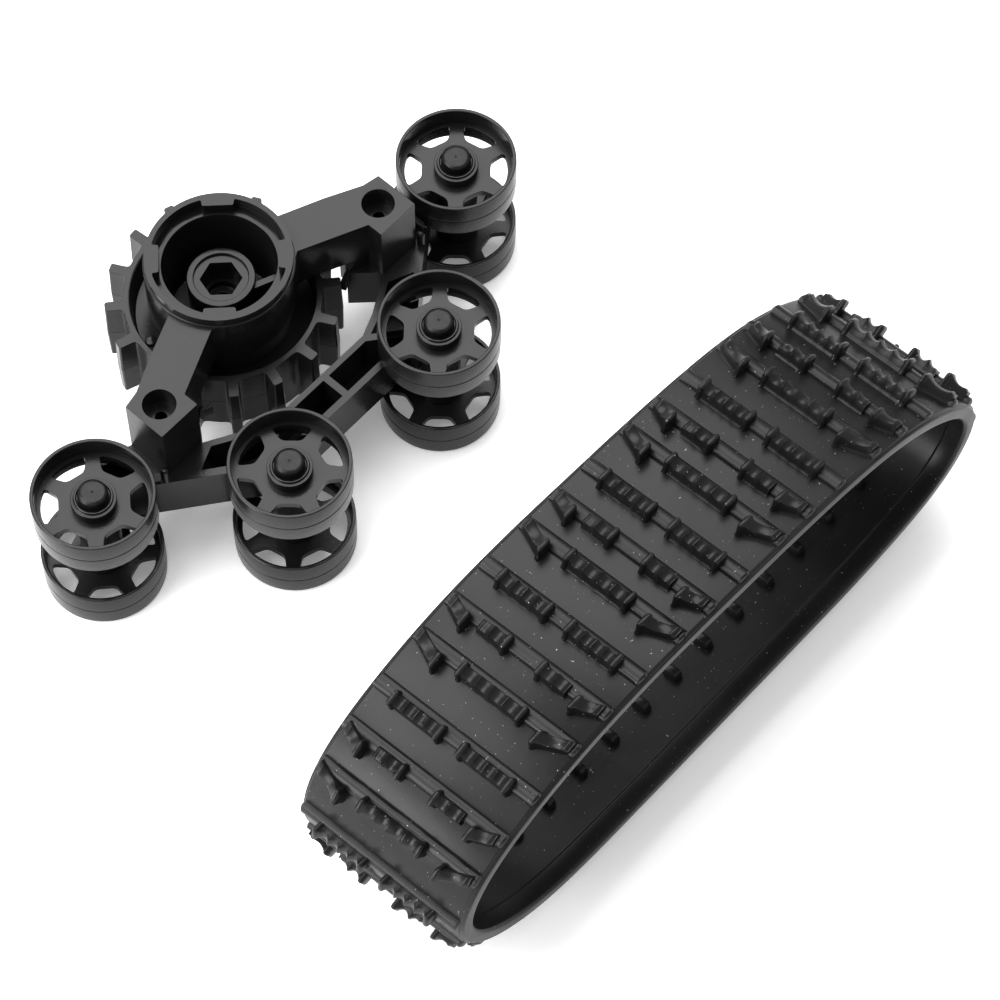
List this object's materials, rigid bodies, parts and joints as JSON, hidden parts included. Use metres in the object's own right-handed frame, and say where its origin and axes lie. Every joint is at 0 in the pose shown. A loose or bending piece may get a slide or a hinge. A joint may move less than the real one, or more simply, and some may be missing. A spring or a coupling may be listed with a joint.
{
  "type": "track conversion unit",
  "caption": "Triangular track unit on its side: frame arms round a toothed drive hub, paired spoked road wheels on axle pins, with a loose ribbed rubber track beside it.",
  "frame": {"origin": "inside the drive hub's bore, halfway between the upper and lower road wheels", "axes": "+Z along every axle and out of the hub's cup, +X from the front end axle to the rear end axle, +Y away from the low axles"},
  "size_m": [0.1472, 0.1437, 0.062],
  "materials": {
    "frame_plastic": "semi-gloss moulded",
    "wheel_plastic": "semi-gloss moulded",
    "hub_plastic": "semi-gloss moulded",
    "pin_metal": "blackened",
    "track_rubber": "satin"
  },
  "bodies": {
    "frame": {"frame_bridge": "frame_plastic", "frame_rail": "frame_plastic", "locating_pegs": "frame_plastic", "front_axle_pin": "pin_metal", "front_low_axle_pin": "pin_metal", "rear_low_axle_pin": "pin_metal", "rear_axle_pin": "pin_metal", "axle_caps": "pin_metal"},
    "sprocket": {"drive_hub": "hub_plastic", "sprocket_upper_half": "hub_plastic", "sprocket_lower_half": "hub_plastic", "sprocket_rivets": "hub_plastic"},
    "front_wheel_top": {"front_wheel_upper": "wheel_plastic"},
    "front_wheel_bottom": {"front_wheel_lower": "wheel_plastic"},
    "front_low_wheel_top": {"front_low_wheel_upper": "wheel_plastic"},
    "front_low_wheel_bottom": {"front_low_wheel_lower": "wheel_plastic"},
    "rear_low_wheel_top": {"rear_low_wheel_upper": "wheel_plastic"},
    "rear_low_wheel_bottom": {"rear_low_wheel_lower": "wheel_plastic"},
    "rear_wheel_top": {"rear_wheel_upper": "wheel_plastic"},
    "rear_wheel_bottom": {"rear_wheel_lower": "wheel_plastic"},
    "track": {"rubber_track": "track_rubber"}
  },
  "joints": [
    {"name": "sprocket_spin", "type": "hinge", "parent": "frame", "child": "sprocket", "pos_m": [0, 0, 0], "axis": [0, 0, 1], "continuous": true},
    {"name": "front_wheel_top_spin", "type": "hinge", "parent": "frame", "child": "front_wheel_top", "pos_m": [-0.0483, -0.0148, 0], "axis": [0, 0, 1], "continuous": true},
    {"name": "front_wheel_bottom_spin", "type": "hinge", "parent": "frame", "child": "front_wheel_bottom", "pos_m": [-0.0483, -0.0148, 0], "axis": [0, 0, 1], "continuous": true},
    {"name": "front_low_wheel_top_spin", "type": "hinge", "parent": "frame", "child": "front_low_wheel_top", "pos_m": [-0.0199, -0.0365, 0], "axis": [0, 0, 1], "continuous": true},
    {"name": "front_low_wheel_bottom_spin", "type": "hinge", "parent": "frame", "child": "front_low_wheel_bottom", "pos_m": [-0.0199, -0.0365, 0], "axis": [0, 0, 1], "continuous": true},
    {"name": "rear_low_wheel_top_spin", "type": "hinge", "parent": "frame", "child": "rear_low_wheel_top", "pos_m": [0.0199, -0.0365, 0], "axis": [0, 0, 1], "continuous": true},
    {"name": "rear_low_wheel_bottom_spin", "type": "hinge", "parent": "frame", "child": "rear_low_wheel_bottom", "pos_m": [0.0199, -0.0365, 0], "axis": [0, 0, 1], "continuous": true},
    {"name": "rear_wheel_top_spin", "type": "hinge", "parent": "frame", "child": "rear_wheel_top", "pos_m": [0.0483, -0.0148, 0], "axis": [0, 0, 1], "continuous": true},
    {"name": "rear_wheel_bottom_spin", "type": "hinge", "parent": "frame", "child": "rear_wheel_bottom", "pos_m": [0.0483, -0.0148, 0], "axis": [0, 0, 1], "continuous": true},
    {"name": "track_lift", "type": "slide", "parent": "frame", "child": "track", "axis": [0, 0, 1], "range_m": [0, 0.06]}
  ]
}
